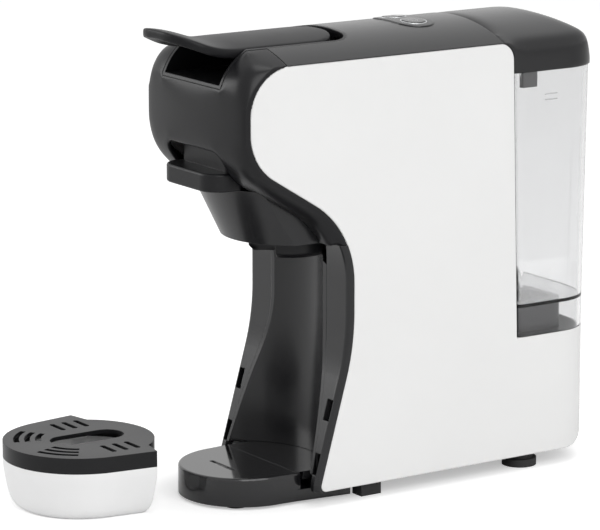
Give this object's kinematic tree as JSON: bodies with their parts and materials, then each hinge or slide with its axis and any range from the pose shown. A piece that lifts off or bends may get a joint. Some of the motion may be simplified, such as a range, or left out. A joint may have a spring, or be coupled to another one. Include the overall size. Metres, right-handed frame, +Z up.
{
  "type": "pod coffee machine",
  "caption": "Slim pod coffee machine with white side panels, black head with locking lever, capsule drawer, clear rear water tank, round front base, and its drip tray and grate beside it.",
  "frame": {"origin": "on the counter plane under the machine, in its plane of symmetry, midway along the side panels' straight sole", "axes": "+Z up, front with lever tip, drawer and cup space towards -Y, water tank towards +Y, +X to the right as seen from the front"},
  "size_m": [0.1476, 0.3856, 0.2995],
  "materials": {
    "white_gloss": "gloss white moulded plastic",
    "black_satin": "fine satin black moulded plastic",
    "black_gloss": "polished black plastic",
    "grey_plastic": "dark grey moulded plastic",
    "clear_tank": "clear moulded plastic",
    "white_tray": "milky translucent plastic",
    "rubber_black": "moulded rubber",
    "steel": "plain steel",
    "brass_fitting": "turned brass",
    "cast_aluminium": "die cast",
    "painted_coil": "varnished yoke",
    "hose_rubber": "silicone hose",
    "board_green": "laminate with solder mask"
  },
  "bodies": {
    "machine": {"left_panel": "white_gloss", "right_panel": "white_gloss", "back_cover": "black_satin", "cord_gland": "rubber_black", "head_shell": "black_satin", "snout_cover": "black_satin", "column_frame": "black_satin", "splash_plate": "black_gloss", "front_base": "black_gloss", "base_pads": "rubber_black", "bottom_plate": "black_satin", "front_feet": "rubber_black", "rear_feet": "rubber_black", "top_cover": "black_satin", "button_bezel": "black_gloss", "lever_well": "black_satin", "lever_pin": "steel", "brew_frame": "black_satin", "guide_posts": "steel", "return_springs": "steel", "feed_pipe": "brass_fitting", "brew_funnel": "grey_plastic", "spout_collar": "black_satin", "chassis": "black_satin", "tank_bay": "white_gloss", "tank_dock": "grey_plastic", "dock_seal": "rubber_black", "flow_meter": "grey_plastic", "pump_body": "grey_plastic", "pump_coil": "painted_coil", "pump_mounts": "rubber_black", "thermoblock": "cast_aluminium", "heater_elements": "steel", "thermal_guards": "steel", "outlet_valve": "brass_fitting", "water_hoses": "hose_rubber", "control_board": "board_green", "board_components": "black_satin", "bottom_screws": "steel"},
    "lever": {"lever": "black_satin", "lever_cams": "black_satin"},
    "piston": {"crosshead": "grey_plastic", "roller_axle": "steel", "cam_rollers": "steel", "brew_piston": "grey_plastic", "piston_seal": "rubber_black", "needle_plate": "steel"},
    "adapter": {"capsule_adapter": "black_satin", "adapter_seal": "rubber_black"},
    "left_button": {"left_button": "black_satin"},
    "right_button": {"right_button": "black_satin"},
    "tank": {"water_tank": "clear_tank", "tank_valve": "grey_plastic", "tank_filter": "grey_plastic"},
    "lid": {"tank_lid": "black_satin", "lid_hooks": "grey_plastic"},
    "tray": {"drip_tray": "white_tray"},
    "grate": {"drip_grate": "black_satin"}
  },
  "joints": [
    {"name": "lever_hinge", "type": "hinge", "parent": "machine", "child": "lever", "pos_m": [0, -0.048, 0.282], "axis": [-1, 0, 0], "range_deg": [0, 75]},
    {"name": "piston_lift", "type": "slide", "parent": "machine", "child": "piston", "axis": [0, 0, 1], "range_m": [0, 0.008], "deforming": ["return_springs"]},
    {"name": "adapter_slide", "type": "slide", "parent": "machine", "child": "adapter", "axis": [0, -1, 0], "range_m": [0, 0.05]},
    {"name": "left_button_press", "type": "slide", "parent": "machine", "child": "left_button", "axis": [0, 0, -1], "range_m": [0, 0.0012], "stiffness_N_per_m": 400, "springref_m": -0.001},
    {"name": "right_button_press", "type": "slide", "parent": "machine", "child": "right_button", "axis": [0, 0, -1], "range_m": [0, 0.0012], "stiffness_N_per_m": 400, "springref_m": -0.001},
    {"name": "tank_lift", "type": "slide", "parent": "machine", "child": "tank", "axis": [0, 0, 1], "range_m": [0, 0.18]},
    {"name": "lid_lift", "type": "slide", "parent": "tank", "child": "lid", "axis": [0, 0, 1], "range_m": [0, 0.05]},
    {"name": "tray_lift", "type": "slide", "parent": "machine", "child": "tray", "axis": [0, 0, 1], "range_m": [0, 0.06]},
    {"name": "grate_lift", "type": "slide", "parent": "tray", "child": "grate", "axis": [0, 0, 1], "range_m": [0, 0.09]}
  ],
  "couplings": [
    {"joint": "piston_lift", "follows": "lever_hinge", "m_per_rad": 0.0061115}
  ]
}
